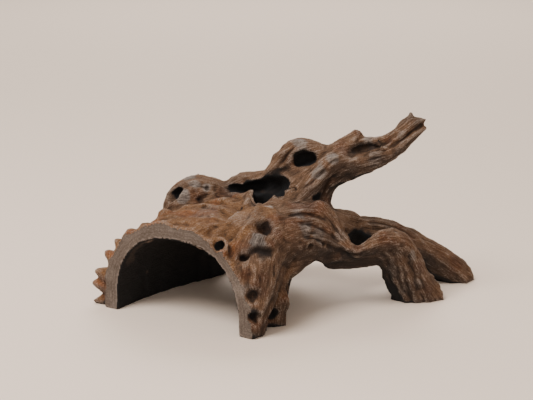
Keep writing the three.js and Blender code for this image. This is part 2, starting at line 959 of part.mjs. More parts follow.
// The origin is put under the middle of the root, on the ground
shape.computeBoundingBox();
const middle = shape.boundingBox.getCenter(new THREE.Vector3());
shape.translate(-middle.x, -middle.y, 0);

const wood = new THREE.MeshStandardMaterial({ color: 0x6b4a33, roughness: 0.8, metalness: 0 });
const root = new THREE.Mesh(shape, wood);
root.name = "driftwood_root";

export default new THREE.Group().add(root);
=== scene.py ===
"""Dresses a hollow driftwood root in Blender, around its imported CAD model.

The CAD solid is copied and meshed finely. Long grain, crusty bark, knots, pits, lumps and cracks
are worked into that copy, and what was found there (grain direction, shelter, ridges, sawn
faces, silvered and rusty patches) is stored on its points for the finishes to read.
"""

import itertools
import logging
import math
from dataclasses import dataclass, field
from enum import Enum
from typing import Iterable, Sequence

import bmesh
import bpy
import numpy as np
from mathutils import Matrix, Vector
from mathutils.bvhtree import BVHTree


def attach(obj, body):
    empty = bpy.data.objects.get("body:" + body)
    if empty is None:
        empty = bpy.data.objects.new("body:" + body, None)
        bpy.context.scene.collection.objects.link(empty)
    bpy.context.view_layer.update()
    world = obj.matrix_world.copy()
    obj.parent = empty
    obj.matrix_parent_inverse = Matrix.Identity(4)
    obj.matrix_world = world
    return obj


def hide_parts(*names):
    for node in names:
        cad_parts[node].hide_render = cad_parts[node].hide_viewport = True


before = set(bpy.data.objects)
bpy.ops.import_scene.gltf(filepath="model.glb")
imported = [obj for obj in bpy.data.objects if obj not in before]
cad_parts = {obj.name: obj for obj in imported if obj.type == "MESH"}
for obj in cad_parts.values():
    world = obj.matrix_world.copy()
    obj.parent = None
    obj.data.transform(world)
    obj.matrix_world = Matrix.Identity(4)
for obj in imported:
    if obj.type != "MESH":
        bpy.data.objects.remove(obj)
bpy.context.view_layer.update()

LOG = logging.getLogger("driftwood")

MM = 0.001  # metres in a millimetre
NODE = "driftwood_root"
SEED = 11
SMOOTH_PUSHES = (0.55, -0.57)  # in and out again, so that the limbs keep their size

FACE_REACH = 14.0  # mm behind the mouth's plane up to which the edges' distances are worked out
FAR = 50.0  # mm, which stands for every longer distance
SAWN_SHARE = 0.6  # share of a face's corners on the saw cut that makes it a sawn face
PATCH_CORE = 0.35  # share of a patch's radius that keeps its full strength
PATCH_RIM = 1.3  # share of its radius at which it has faded out

Array = np.ndarray
Row = tuple[float, float, float, float]
Pair = tuple[float, float]
Pixel = Pair
Place = tuple[float, float, float]
Seat = tuple[Array, Array]  # a place on the root in mm and the unit normal there


@dataclass(frozen=True)
class Photograph:
    """The photograph's frame and the camera that fits it, in millimetres and degrees."""

    width: float = 533.0
    height: float = 400.0
    sensor: float = 36.0
    lens: float = 72.0
    pitch: float = 15.0
    distance: float = 917.0
    aim: tuple[float, float, float] = (-21.01, -14.35, 98.8)

    def place(self) -> Vector:
        """Returns where the camera stands, in metres."""
        tilt = math.radians(self.pitch)
        back = Vector((0.0, -math.cos(tilt), math.sin(tilt))) * self.distance
        return (Vector(self.aim) + back) * MM

    def ray(self, pixel: Pixel) -> Vector:
        """Works out the direction of a pixel's line of sight.

        Args:
            pixel: A place in the photograph's frame, from its top left.

        Returns:
            The unit direction from the camera.
        """
        tilt = math.radians(self.pitch)
        focal = self.lens / self.sensor * self.width
        right = (pixel[0] - self.width / 2) / focal
        rise = (self.height / 2 - pixel[1]) / focal
        ahead = Vector((0.0, math.cos(tilt), -math.sin(tilt)))
        over = Vector((0.0, math.sin(tilt), math.cos(tilt)))
        return (ahead + Vector((right, 0.0, 0.0)) + over * rise).normalized()


PHOTO = Photograph()

# Where the CAD model's first origin lies in the part's frame: the limbs below are measured from it
SCULPT_ORIGIN = np.array([-21.01, -14.35, 0.0])


class Surface(Enum):
    """The kinds of surface that a limb may carry."""

    BARK = "bark"
    GRAIN = "grain"
    CRACKED = "cracked"


@dataclass(frozen=True)
class Limb:
    """One limb of the root: rows of x, y, z and radius in mm, and the surface that it carries."""

    rows: tuple[Row, ...]
    surface: Surface = Surface.GRAIN


LIMBS: dict[str, Limb] = {
    "log": Limb(
        (
            (-117, -98, 30, 58), (-79, -35, 30, 58), (-52, 8, 32, 56), (-24, 40, 36, 52),
            (6, 62, 34, 46),
        ),
        Surface.BARK,
    ),
    "bark_shoulder": Limb(((-40, -8, 72, 20), (-18, -18, 72, 22), (-8, -14, 80, 20)), Surface.BARK),
    "shoulder": Limb(((12, -6, 75, 20), (32, 8, 75, 19), (56, 30, 60, 17))),
    "crown": Limb(((2, 36, 82, 22), (20, 40, 94, 20), (36, 42, 102, 18))),
    "front_leg": Limb(((-5, -40, 58, 18), (-7, -52, 44, 17), (-9, -58, 24, 13), (-11, -60, 0, 11))),
    "front_toe": Limb(((1, -38, 52, 13), (5, -38, 36, 9), (10, -38, 21, 9), (8, -38, 0, 8))),
    "knuckle": Limb(((4, -28, 62, 18), (20, -16, 66, 17), (38, -5, 62, 14), (52, 3, 57, 12))),
    "web": Limb(((42, 0, 62, 14), (56, 4, 50, 12), (70, 8, 46, 11), (102, 16, 50, 13))),
    "band": Limb(
        (
            (46, 9, 87, 9), (64, 4, 66, 7), (79, -2, 52, 6), (97, 3, 61, 7), (110, 9, 60, 10),
        ),
    ),
    "right_leg": Limb(
        (
            (104, 13, 52, 13), (114, 16, 43, 16), (121, 19, 28, 17), (128, 22, 14, 19),
            (137, 27, 0, 24),
        ),
        Surface.CRACKED,
    ),
    "back_root": Limb(((48, 34, 66, 16), (94, 51, 53, 14), (142, 65, 33, 14), (184, 78, 0, 14))),
    "stub": Limb(((-22, 58, 82, 15), (-44, 60, 80, 16), (-68, 61, 83, 21), (-84, 55, 74, 12))),
    "branch": Limb(
        (
            (32, 44, 98, 19), (65, 39, 122, 15), (97, 37, 132, 12), (116, 37, 143, 10),
            (136, 37, 159, 4),
        ),
    ),
    "ridge": Limb(
        (
            (-34, 61, 88, 9), (2, 54, 104, 9), (17, 48, 121, 11), (45, 42, 131, 9),
            (80, 38, 147, 6),
        ),
    ),
    "lip": Limb(
        (
            (-8, 4, 82, 7), (24, 18, 92, 8), (45, 27, 113, 8), (68, 31, 129, 8), (107, 32, 132, 7),
        ),
    ),
    "heel": Limb(((47, 34, 72, 10), (49, 35, 90, 9), (65, 37, 112, 8), (84, 37, 123, 8))),
}


class Mark(Enum):
    """What a mark does to the surface round its middle."""

    KNOT = "knot"
    PIT = "pit"
    LUMP = "lump"
    RING = "ring"


@dataclass(frozen=True)
class Spot:
    """A mark on the surface: its pixel in the photograph, its half sizes and its depth in mm."""

    pixel: Pixel
    mark: Mark
    wide: float
    tall: float
    depth: float
    turn: float = 0.0


SPOTS: dict[str, Spot] = {
    "shoulder_fill": Spot((267, 228), Mark.LUMP, 8, 10, 5),
    "shoulder_ring": Spot((269, 230), Mark.RING, 10, 13, 2.8),
    "shoulder_eye": Spot((267, 228), Mark.PIT, 6, 8.6, 2.6),
    "web_under_left": Spot((334, 256), Mark.PIT, 11, 4.5, 2.6),
    "web_under_right": Spot((357, 259), Mark.PIT, 12, 4, 2.6),
    "foot_pit": Spot((253, 318), Mark.PIT, 3, 6, 2.6, -20),
    "stub_pocket": Spot((178, 196), Mark.PIT, 2.6, 5, 1),
    "branch_hole": Spot((308, 157), Mark.PIT, 10, 6, 3),
    "branch_hole_low": Spot((299, 163), Mark.PIT, 6, 4.6, 3),
    "hole_curl": Spot((288, 187), Mark.KNOT, 3.6, 4.4, 3),
    "lip_curl": Spot((278, 197), Mark.KNOT, 3.4, 4.6, 3),
    "web_curl": Spot((311, 247), Mark.KNOT, 4, 3.4, 3),
    "web_eye": Spot((324, 244), Mark.KNOT, 3.2, 2.8, 2.4),
    "knee_pit": Spot((244, 258), Mark.PIT, 4.5, 3, 2),
    "bark_pit": Spot((204, 206), Mark.PIT, 2.2, 2, 2.5),
    "knee_lump": Spot((252, 268), Mark.LUMP, 6, 4.5, 2.6),
    "toe_lump": Spot((284, 300), Mark.LUMP, 5, 5, 2.4),
    "heel_lump": Spot((246, 252), Mark.LUMP, 5, 4, 2),
    "stub_lump": Spot((196, 182), Mark.LUMP, 6, 4, 1.8),
    "rim_boss": Spot((129, 234), Mark.LUMP, 4.5, 4, 2.6),
}


@dataclass(frozen=True)
class Crack:
    """A groove along the surface: its pixels in the photograph, its width and its depth in mm."""

    pixels: tuple[Pixel, ...]
    width: float
    depth: float


CRACKS: dict[str, Crack] = {
    "bark_groove": Crack(((206, 236), (217, 226), (232, 214), (242, 206)), 2.4, 1.8),
    "stub_groove": Crack(((190, 206), (200, 199), (211, 193)), 2, 1.6),
    "knee_cleft": Crack(((249, 252), (258, 250), (268, 253)), 2.4, 1.8),
    "shoulder_upper": Crack(((272, 209), (284, 204), (300, 202), (318, 204)), 1.6, 1.2),
    "shoulder_lower": Crack(((280, 219), (294, 214), (310, 214), (324, 219), (336, 231)), 1.8, 1.5),
    "shoulder_deep": Crack(((296, 222), (312, 224), (326, 231), (338, 240)), 2.2, 2),
    "web_fold": Crack(((300, 236), (314, 238), (330, 246), (344, 252)), 1.8, 1.5),
    "lip_groove": Crack(((296, 190), (310, 184), (322, 172), (332, 161), (346, 157)), 1.7, 1.4),
    "branch_side": Crack(((352, 164), (368, 160), (384, 156), (398, 148)), 1.6, 1.2),
    "branch_groove": Crack(((350, 152), (360, 149), (372, 145), (384, 142), (394, 138)), 3.6, 5),
    "branch_top": Crack(((390, 147), (402, 140), (414, 130), (424, 124)), 2.2, 3),
    "branch_folds": Crack(((360, 158), (372, 152), (386, 150), (398, 143)), 1.8, 2.2),
    "band_lower": Crack(((322, 243), (332, 248), (344, 253), (358, 255), (372, 250)), 2.2, 1.8),
    "band_upper": Crack(((322, 214), (332, 222), (340, 234), (350, 244)), 1.7, 1.4),
    "neck_left": Crack(((322, 200), (325, 188), (333, 176), (345, 168)), 1.6, 1.5),
    "root_slit": Crack(((374, 228), (384, 229), (396, 231)), 1.9, 2),
    "root_groove": Crack(((360, 222), (376, 222), (396, 227), (414, 238)), 1.6, 1.6),
    "foot_one": Crack(((392, 268), (395, 282), (399, 297)), 1.5, 1.1),
    "foot_two": Crack(((402, 262), (406, 278), (410, 299)), 1.5, 1.3),
    "foot_three": Crack(((409, 256), (415, 274), (419, 302)), 1.7, 1.8),
    "foot_four": Crack(((420, 276), (426, 290), (429, 302)), 1.5, 1),
    "leg_left": Crack(((256, 262), (259, 276), (264, 290)), 1.5, 0.9),
    "leg_right": Crack(((272, 256), (274, 272), (276, 288)), 1.5, 0.9),
    "crown_folds": Crack(((283, 164), (289, 153), (297, 144)), 1.7, 1.4),
    "crown_side": Crack(((276, 170), (284, 158), (292, 148)), 1.6, 1.6),
    "stub_folds": Crack(((212, 178), (216, 188), (214, 196)), 1.6, 1),
    "stub_edge": Crack(((202, 176), (207, 187), (205, 195)), 1.5, 1),
}


@dataclass(frozen=True)
class Streaks:
    """Streaks along the grain: their place in the noise, width and half length in mm."""

    shift: float
    width: float
    reach: float


FLUTES = Streaks(0.0, 8.0, 40.0)
RIDGES = Streaks(40.0, 3.8, 20.0)
FIBRES = Streaks(70.0, 2.2, 9.0)
SPLITS = Streaks(130.0, 4.6, 24.0)
WARP = 1.6  # mm by which the streaks and the bark's lumps wander
WARP_SIZE = 18.0  # mm
WARP_SHIFTS = (0.0, 91.0, 187.0)  # where the wander along each axis is read in the noise
BARK_LUMP, BARK_CRUST, BARK_CRUMB = 12.0, 5.5, 2.6  # the sizes of the bark's relief in mm


class Tint(Enum):
    """The colour changes that a patch brings: silvering and rust from the weather, painted shade
    and dark stains.
    """

    SILVER = "silver"
    RUST = "rust"
    # Painted shade in holes, creases and undersides, and random dark stains from the noise
    PAINTED_SHADE_AND_STAIN = "shade"


# Where each tint's own, unplaced patches are read in the noise, and how strong they are
WILD: dict[Tint, Pair] = {
    Tint.SILVER: (900.0, 0.35),
    Tint.RUST: (1300.0, 0.7),
    Tint.PAINTED_SHADE_AND_STAIN: (1700.0, 0.3),
}

# The silver, rust and painted-shade patches: each one's pixel in the photograph, radius in mm,
# strength
PATCHES: dict[Tint, tuple[Row, ...]] = {
    # Painted shade: the holes, the cleft and pits, the web's underside and the leg's dim side
    Tint.PAINTED_SHADE_AND_STAIN: (
        (306, 159, 8, 1), (297, 161, 5, 1), (314, 157, 5, 0.9), (300, 164, 5, 1),
        (267, 225, 8, 0.9), (267, 232, 7, 0.9), (252, 250, 6, 1), (260, 251, 7, 1),
        (268, 252, 6, 1), (244, 257, 4, 0.8), (251, 292, 6, 0.5), (254, 317, 5, 0.5),
        (276, 314, 3, 0.6), (284, 256, 14, 0.4), (278, 272, 10, 0.35), (242, 190, 6, 1),
        (262, 186, 7, 1), (272, 188, 8, 1), (279, 187, 7, 1), (284, 183, 5, 1),
        (236, 192, 4, 0.9), (322, 254, 7, 0.85), (330, 253, 8, 0.9), (328, 261, 8, 0.9),
        (338, 252, 7, 0.9), (338, 262, 11, 0.95), (346, 256, 8, 0.95), (350, 264, 11, 0.95),
        (357, 260, 7, 0.95), (364, 262, 10, 0.95), (367, 256, 7, 0.9), (374, 253, 7, 0.85),
        (376, 262, 9, 0.85), (382, 256, 6, 0.5), (354, 232, 4, 1), (361, 232, 4, 1),
        (368, 234, 3, 1), (300, 242, 14, 0.35), (316, 244, 11, 0.4), (318, 232, 9, 0.5),
        (330, 240, 8, 0.6), (306, 222, 6, 0.5), (354, 151, 4, 1), (362, 148, 5, 1),
        (371, 146, 5, 1), (380, 143, 4, 0.9), (390, 139, 3, 0.8), (384, 158, 6, 0.5),
        (398, 152, 6, 0.5), (346, 178, 6, 0.5), (334, 190, 7, 0.5), (390, 262, 6, 0.5),
        (388, 228, 5, 0.6), (374, 224, 5, 0.5), (430, 262, 10, 0.6), (276, 214, 5, 0.4),
    ),
    Tint.SILVER: (
        (181, 195, 10, 1), (196, 186, 7, 0.8), (258, 241, 8, 1), (300, 142, 8, 0.8),
        (269, 206, 5, 0.7), (298, 215, 7, 0.7), (306, 228, 9, 0.7), (318, 236, 9, 0.6),
        (340, 236, 8, 0.5), (332, 206, 8, 0.4), (392, 272, 10, 0.7), (404, 288, 10, 0.6),
        (376, 160, 9, 0.6), (352, 172, 9, 0.5), (338, 184, 8, 0.5), (206, 188, 6, 0.7),
        (190, 178, 8, 0.8), (290, 132, 6, 0.6), (320, 172, 8, 1), (333, 158, 7, 0.9),
        (303, 150, 7, 0.8), (368, 140, 6, 0.8), (402, 136, 7, 0.5), (418, 124, 6, 0.5),
        (412, 256, 6, 0.8), (418, 284, 7, 0.6), (398, 284, 14, 0.4), (240, 290, 8, 0.8),
        (236, 185, 6, 0.5),
    ),
    Tint.RUST: (
        (102, 288, 14, 0.8), (112, 252, 10, 0.8), (129, 234, 8, 0.9), (152, 224, 12, 0.7),
        (200, 222, 24, 0.35), (279, 234, 6, 1), (271, 244, 5, 0.9), (222, 254, 6, 0.8),
        (247, 274, 7, 0.9), (262, 278, 8, 0.7), (284, 300, 7, 0.8), (300, 252, 8, 0.6),
        (298, 206, 10, 0.9), (316, 206, 14, 0.9), (392, 246, 9, 0.8), (420, 268, 7, 0.8),
        (428, 290, 7, 0.7), (455, 262, 12, 0.8), (400, 226, 8, 0.7), (344, 150, 7, 0.7),
        (330, 176, 6, 0.6), (196, 196, 10, 0.7), (346, 246, 7, 0.5), (360, 250, 7, 0.8),
        (384, 238, 10, 0.7), (406, 240, 10, 0.5), (440, 246, 14, 0.5), (340, 146, 8, 0.7),
        (357, 131, 5, 0.9), (388, 140, 7, 0.8), (300, 139, 8, 0.5), (283, 190, 8, 0.9),
        (258, 190, 5, 0.9), (312, 190, 9, 0.5),
    ),
}


class SmoothNoise:
    """Seeded gradient noise over space, worked out for many points at once."""

    def __init__(self, seed: int) -> None:
        """Draws the noise's tables.

        Args:
            seed: Picks the pattern.
        """
        rng = np.random.default_rng(seed)
        self.table = rng.permutation(512)
        slopes = rng.normal(size=(512, 3))
        self.slopes = slopes / np.linalg.norm(slopes, axis=1, keepdims=True)

    def corner(self, cell: Array) -> Array:
        """Returns the slope at each whole-number corner in cell."""
        first = self.table[cell[:, 0] & 511]
        second = self.table[(first + cell[:, 1]) & 511]
        return self.slopes[self.table[(second + cell[:, 2]) & 511]]

    def at(self, points: Array, size: float) -> Array:
        """Works out the noise.

        Args:
            points: Places, one a row, in mm.
            size: The noise's wavelength in mm.

        Returns:
            One value a point, from about -1 to 1.
        """
        scaled = points / size
        low = np.floor(scaled).astype(int)
        part = scaled - low
        fade = part * part * part * (part * (part * 6 - 15) + 10)
        total = np.zeros(len(points))
        for step in np.ndindex(2, 2, 2):
            offset = np.array(step)
            share = np.prod(np.where(offset == 1, fade, 1 - fade), axis=1)
            total += share * np.einsum("ij,ij->i", self.corner(low + offset), part - offset)
        return total * 1.8

    def streaks(self, points: Array, ways: Array, kind: "Streaks") -> Array:
        """Averages the noise along a direction, which draws it out into streaks.

        Args:
            points: Places, one a row, in mm.
            ways: The streaks' unit direction at each place.
            kind: The streaks' place in the noise and their sizes.

        Returns:
            One value a point, from about -1 to 1.
        """
        steps = np.linspace(-1, 1, 4 * int(kind.reach / kind.width) + 1)
        weights = 0.5 + 0.5 * np.cos(math.pi * steps * 0.9)
        start = points + kind.shift
        taps = (self.at(start + ways * (kind.reach * step), kind.width) for step in steps)
        total = sum(weight * tap for weight, tap in zip(weights, taps))
        return total / math.sqrt(float(np.sum(weights**2)))


def ease(value: Array, low: float, high: float) -> Array:
    """Returns value eased from 0 at low to 1 at high."""
    part = np.clip((value - low) / (high - low), 0.0, 1.0)
    return part * part * (3 - 2 * part)


def hump(near: Array, middle: float, width: float) -> Array:
    """Returns a smooth hump over near, 1 high at middle."""
    return np.exp(-(((near - middle) / width) ** 2))


def nearest_on(points: Array, start: Array, end: Array) -> tuple[Array, Array]:
    """Finds how far points lie from a segment.

    Args:
        points: Places, one a row.
        start: The segment's first end.
        end: Its other end.

    Returns:
        The distance of each point, and its share of the way from start to end.
    """
    run = end - start
    share = np.clip((points - start) @ run / max(float(run @ run), 1e-9), 0.0, 1.0)
    return np.linalg.norm(points - start - share[:, None] * run, axis=1), share


class GrainMap:
    """Where the grain runs, and which surface each place carries, from the limbs."""

    fade = 2.5  # mm past a limb's surface at which it has lost most of its say

    def __init__(self, limbs: Iterable[Limb]) -> None:
        """Keeps the limbs, which read moves to the part's frame."""
        self.limbs = list(limbs)

    def read(self, points: Array) -> tuple[Array, dict[Surface, Array]]:
        """Works out the grain at many points.

        Args:
            points: Places, one a row, in mm.

        Returns:
            The grain's unit direction at each point, and each surface's share there.
        """
        spread = np.zeros((len(points), 3, 3))
        lean = np.zeros((len(points), 3))
        shares = {surface: np.zeros(len(points)) for surface in Surface}
        for limb in self.limbs:
            rows = np.array(limb.rows, dtype=float)
            for low, high in zip(rows[:-1], rows[1:]):
                away, share = nearest_on(points, low[:3] + SCULPT_ORIGIN, high[:3] + SCULPT_ORIGIN)
                gap = np.maximum(away - low[3] - (high[3] - low[3]) * share, 0.0)
                weight = (gap + self.fade) ** -3.0
                way = (high[:3] - low[:3]) / np.linalg.norm(high[:3] - low[:3])
                spread += weight[:, None, None] * np.outer(way, way)
                lean += weight[:, None] * way
                shares[limb.surface] += weight
        ways = np.linalg.eigh(spread)[1][:, :, 2]
        ways *= np.where(np.einsum("ij,ij->i", ways, lean) < 0, -1.0, 1.0)[:, None]
        total = sum(shares.values())
        return ways, {surface: share / total for surface, share in shares.items()}


def placed(name: str, data: bpy.types.ID) -> bpy.types.Object:
    """Adds an object to the scene.

    Args:
        name: The object's name.
        data: Its mesh, light or camera.

    Returns:
        The object.
    """
    made = bpy.data.objects.new(name, data)
    bpy.context.scene.collection.objects.link(made)
    return made


def gathered(items: bpy.types.bpy_prop_collection, name: str, width: int, kind: type) -> Array:
    """Reads one value of every item in a mesh's list.

    Args:
        items: The mesh's points, edges, corners or faces.
        name: The value's name.
        width: How many numbers it holds.
        kind: Their type.

    Returns:
        The values, one row an item.
    """
    flat = np.empty(len(items) * width, dtype=kind)
    items.foreach_get(name, flat)
    return flat.reshape(-1, width)


class FineSkin:
    """A fine copy of a CAD node, whose points can be smoothed, moved and given values."""

    def __init__(self, node: bpy.types.Object, voxel: float) -> None:
        """Copies the node, merges its doubles and meshes it evenly.

        Args:
            node: The CAD node's object.
            voxel: The new mesh's spacing in mm.
        """
        bm = bmesh.new()
        bm.from_mesh(node.data)
        bmesh.ops.remove_doubles(bm, verts=bm.verts, dist=1e-6)
        coarse = bpy.data.meshes.new("coarse_root")
        bm.to_mesh(coarse)
        self.tree = BVHTree.FromBMesh(bm)
        bm.free()
        holder = placed("coarse_root", coarse)
        remesh = holder.modifiers.new("even_mesh", "REMESH")
        remesh.mode = "VOXEL"
        remesh.voxel_size = voxel * MM
        graph = bpy.context.evaluated_depsgraph_get()
        self.mesh = bpy.data.meshes.new_from_object(holder.evaluated_get(graph))
        bpy.data.objects.remove(holder)
        bpy.data.meshes.remove(coarse)
        self.mesh.name = "driftwood"
        self.points = gathered(self.mesh.vertices, "co", 3, float) / MM
        self.ends = gathered(self.mesh.edges, "vertices", 2, np.int32)
        self.valence = np.bincount(self.ends.ravel(), minlength=len(self.points)).astype(float)
        self.sawn = np.zeros(len(self.points))  # 1 on the mouth's cut, 2 on the ground's
        self.shelter = self.filled = self.sawn  # deep inside, and under a lump: 0 to 1
        self.loose = 1 - self.sawn  # where the relief may move the surface
        self.ways = self.before = self.points  # the grain, and the normals before the marks
        self.shares: dict[Surface, Array] = {}

    def normals(self) -> Array:
        """Returns the unit normal at each point, as the mesh is now."""
        self.store()
        return gathered(self.mesh.vertices, "normal", 3, float)

    def store(self) -> None:
        """Writes the points back to the mesh."""
        self.mesh.vertices.foreach_set("co", (self.points * MM).ravel())
        self.mesh.update()

    def spread(self, values: Array) -> Array:
        """Returns each point's average of its neighbours' values."""
        columns = values.reshape(len(values), -1)
        total = np.zeros_like(columns, dtype=float)
        for column, (near, far) in itertools.product(range(columns.shape[1]), ((0, 1), (1, 0))):
            weights = columns[self.ends[:, far], column]
            total[:, column] += np.bincount(self.ends[:, near], weights, len(values))
        return (total / self.valence[:, None]).reshape(values.shape)

    def blur(self, values: Array, rounds: int) -> Array:
        """Returns the values, evened out over that many rings of neighbours."""
        for _ in range(rounds):
            values = 0.5 * values + 0.5 * self.spread(values)
        return values

    def smooth(self, rounds: int) -> None:
        """Takes off the CAD facets without shrinking the limbs."""
        for _ in range(rounds):
            for push in SMOOTH_PUSHES:
                self.points += push * (self.spread(self.points) - self.points)

    def keep(self, name: str, values: Array) -> None:
        """Stores values on the mesh's points under a name.

        Args:
            name: The attribute's name, which the finishes read.
            values: One number or one direction a point.
        """
        kind = "FLOAT" if values.ndim == 1 else "FLOAT_VECTOR"
        slot = "value" if values.ndim == 1 else "vector"
        attribute = self.mesh.attributes.new(name, kind, "POINT")
        attribute.data.foreach_set(slot, values.astype(np.float32).ravel())


@dataclass
class DriftwoodRoot:
    """The root: its mesh, worked from the CAD solid, and its finishes."""

    voxel: float = 1.5
    smooth_rounds: int = 7
    edge_rounds: int = 10
    mouth_band: float = 0.6  # how near the mouth's plane its sawn points lie, in voxels
    mouth_facing: float = 0.8  # how squarely they face out of it
    ground_band: float = 0.5
    ground_facing: float = 0.85
    shelter_rays: int = 14
    shelter_reach: float = 140.0
    saw_left: tuple[float, float] = (-131.0, -5.0)
    saw_right: tuple[float, float] = (-23.0, -67.0)
    flute_height: float = 0.3
    ridge_height: float = 0.26
    fibre_height: float = 0.2
    lump_height: float = 0.38
    crust_height: float = 0.36
    crumb_share: float = 0.7
    bark_ridge_height: float = 0.12
    split_depth: float = 0.9
    ray_lift: float = 2.5  # mm that a shelter ray starts off the surface
    ray_lean: float = 1.05  # how far the rays lean to the normal
    noise: SmoothNoise = field(default_factory=lambda: SmoothNoise(SEED))

    def build(self) -> bpy.types.Object:
        """Makes the finished root.

        Returns:
            The object, at the origin, with its values stored and its finishes on.
        """
        skin = FineSkin(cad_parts[NODE], self.voxel)
        skin.sawn = self.sawn_faces(skin)
        skin.shelter = self.shelter(skin)
        skin.smooth(self.smooth_rounds)
        self.even_edges(skin)
        skin.ways, skin.shares = GrainMap(LIMBS.values()).read(skin.points)
        normals = skin.normals()
        skin.ways -= normals * np.einsum("ij,ij->i", skin.ways, normals)[:, None]
        skin.ways /= np.maximum(np.linalg.norm(skin.ways, axis=1, keepdims=True), 1e-6)
        skin.loose = 1.0 - ease(skin.sawn, 0.2, 0.9)
        skin.points += normals * (self.relief(skin) * skin.loose)[:, None]
        self.work_marks(skin)
        self.flatten(skin)
        self.keep_values(skin)
        root = placed("driftwood", skin.mesh)
        self.dress(root, skin.sawn)
        LOG.info("driftwood: %d points, %d faces", len(skin.points), len(skin.mesh.polygons))
        return root

    def saw_plane(self) -> tuple[Array, float]:
        """Returns the mouth's sawn plane: its outward unit normal and its offset in mm."""
        left = np.array([*self.saw_left, 0.0]) + SCULPT_ORIGIN
        right = np.array([*self.saw_right, 0.0]) + SCULPT_ORIGIN
        along = (right - left) / np.linalg.norm(right - left)
        out = np.array([along[1], -along[0], 0.0])
        return out, float(out @ left)

    def sawn_faces(self, skin: FineSkin) -> Array:
        """Returns how far each point belongs to the sawn mouth, 1 on it, or 2 on the ground."""
        out, offset = self.saw_plane()
        normals = skin.normals()
        near_mouth = np.abs(skin.points @ out - offset) < self.mouth_band * self.voxel
        near_ground = skin.points[:, 2] < self.ground_band * self.voxel
        on_mouth = near_mouth & (normals @ out > self.mouth_facing)
        on_ground = near_ground & (normals[:, 2] < -self.ground_facing)
        return np.where(on_mouth, 1.0, np.where(on_ground, 2.0, 0.0))

    def flatten(self, skin: FineSkin) -> None:
        """Lays the sawn points back on their planes, and keeps the rest above the ground.

        Args:
            skin: The fine mesh.
        """
        out, offset = self.saw_plane()
        mouth = skin.sawn == 1.0
        skin.points[mouth] -= np.outer(skin.points[mouth] @ out - offset, out)
        over = np.maximum(skin.points @ out - offset, 0.0)
        skin.points -= np.outer(over, out)
        skin.points[skin.sawn == 2.0, 2] = 0.0
        skin.points[:, 2] = np.maximum(skin.points[:, 2], 0.0)

    def even_edges(self, skin: FineSkin) -> None:
        """Lays the sawn points on their planes and evens out the steps along the faces' edges.

        Args:
            skin: The fine mesh.
        """
        band = skin.blur(np.where(skin.sawn > 0, 1.0, 0.0), 1)
        edge = (band > 0.01) & (band < 0.99)
        self.flatten(skin)
        for _ in range(self.edge_rounds):
            even = skin.spread(skin.points)
            skin.points[edge] += 0.5 * (even - skin.points)[edge]
            self.flatten(skin)

    def shelter(self, skin: FineSkin) -> Array:
        """Works out how sheltered each point is, from 0 in the open to 1 deep inside."""
        rng = np.random.default_rng(SEED)
        rays = rng.normal(size=(self.shelter_rays, 3))
        rays /= np.linalg.norm(rays, axis=1, keepdims=True)
        normals = skin.normals()
        hidden = np.zeros(len(skin.points))
        for index, (point, normal) in enumerate(zip(skin.points * MM, normals)):
            start = Vector(point + normal * self.ray_lift * MM)
            for ray in rays:
                way = Vector(ray + normal * self.ray_lean)
                hidden[index] += self.meets_root(skin.tree, start, way)
        return skin.blur(hidden / self.shelter_rays, 3)

    def meets_root(self, tree: BVHTree, start: Vector, way: Vector) -> bool:
        """Looks whether a ray ends on the root, or on ground that the root covers.

        Args:
            tree: The root's surface.
            start: The ray's start in metres.
            way: Its direction.

        Returns:
            True where it does, within reach.
        """
        way.normalize()
        reach = self.shelter_reach * MM
        if tree.ray_cast(start, way, reach)[0] is not None:
            return True
        if way.z > -0.05 or start.z / -way.z > reach:
            return False
        ground = start + way * (start.z / -way.z)
        return tree.ray_cast(ground, Vector((0.0, 0.0, 1.0)), 1.0)[0] is not None

    def relief(self, skin: FineSkin) -> Array:
        """Works out the grain and the bark as a height over the smooth surface.

        Args:
            skin: The fine mesh.

        Returns:
            The height at each point in mm.
        """
        at = skin.points
        noise = self.noise
        wander = [noise.at(at + shift, WARP_SIZE) for shift in WARP_SHIFTS]
        warp = at + WARP * np.stack(wander, axis=1)
        flutes = noise.streaks(warp, skin.ways, FLUTES)
        ridges = noise.streaks(warp, skin.ways, RIDGES)
        fibres = noise.streaks(at, skin.ways, FIBRES)
        grain = self.flute_height * flutes + self.ridge_height * (1 - 2 * np.abs(ridges))
        grain += self.fibre_height * fibres
        lumps = 1 - 2 * np.abs(noise.at(warp + 20.0, BARK_LUMP))
        crust = noise.at(warp + 55.0, BARK_CRUST)
        crust += self.crumb_share * noise.at(at + 15.0, BARK_CRUMB)
        bark = self.lump_height * lumps + self.crust_height * crust
        bark += self.bark_ridge_height * ridges
        cracks = -self.split_depth * ease(-noise.streaks(at, skin.ways, SPLITS), 0.15, 0.6)
        height = skin.shares[Surface.BARK] * bark + (1 - skin.shares[Surface.BARK]) * grain
        height += skin.shares[Surface.CRACKED] * cracks
        out, offset = self.saw_plane()
        behind = offset - at @ out
        calm = ease(skin.shelter, 0.4, 0.6) * (1 - ease(behind, 3.0, 12.0))
        return height * (1 - 0.7 * ease(skin.shelter, 0.6, 0.9)) * (1 - 0.9 * calm)

    def seat(self, tree: BVHTree, pixel: Pixel) -> Seat | None:
        """Finds where a pixel's line of sight meets the root.

        Args:
            tree: The root's surface.
            pixel: A place in the photograph's frame.

        Returns:
            The place in mm and the unit normal there, or None where it misses.
        """
        place, normal, _, _ = tree.ray_cast(PHOTO.place(), PHOTO.ray(pixel), 3.0)
        if place is None:
            LOG.warning("pixel %s misses the root", pixel)
            return None
        return np.array(place) / MM, np.array(normal)

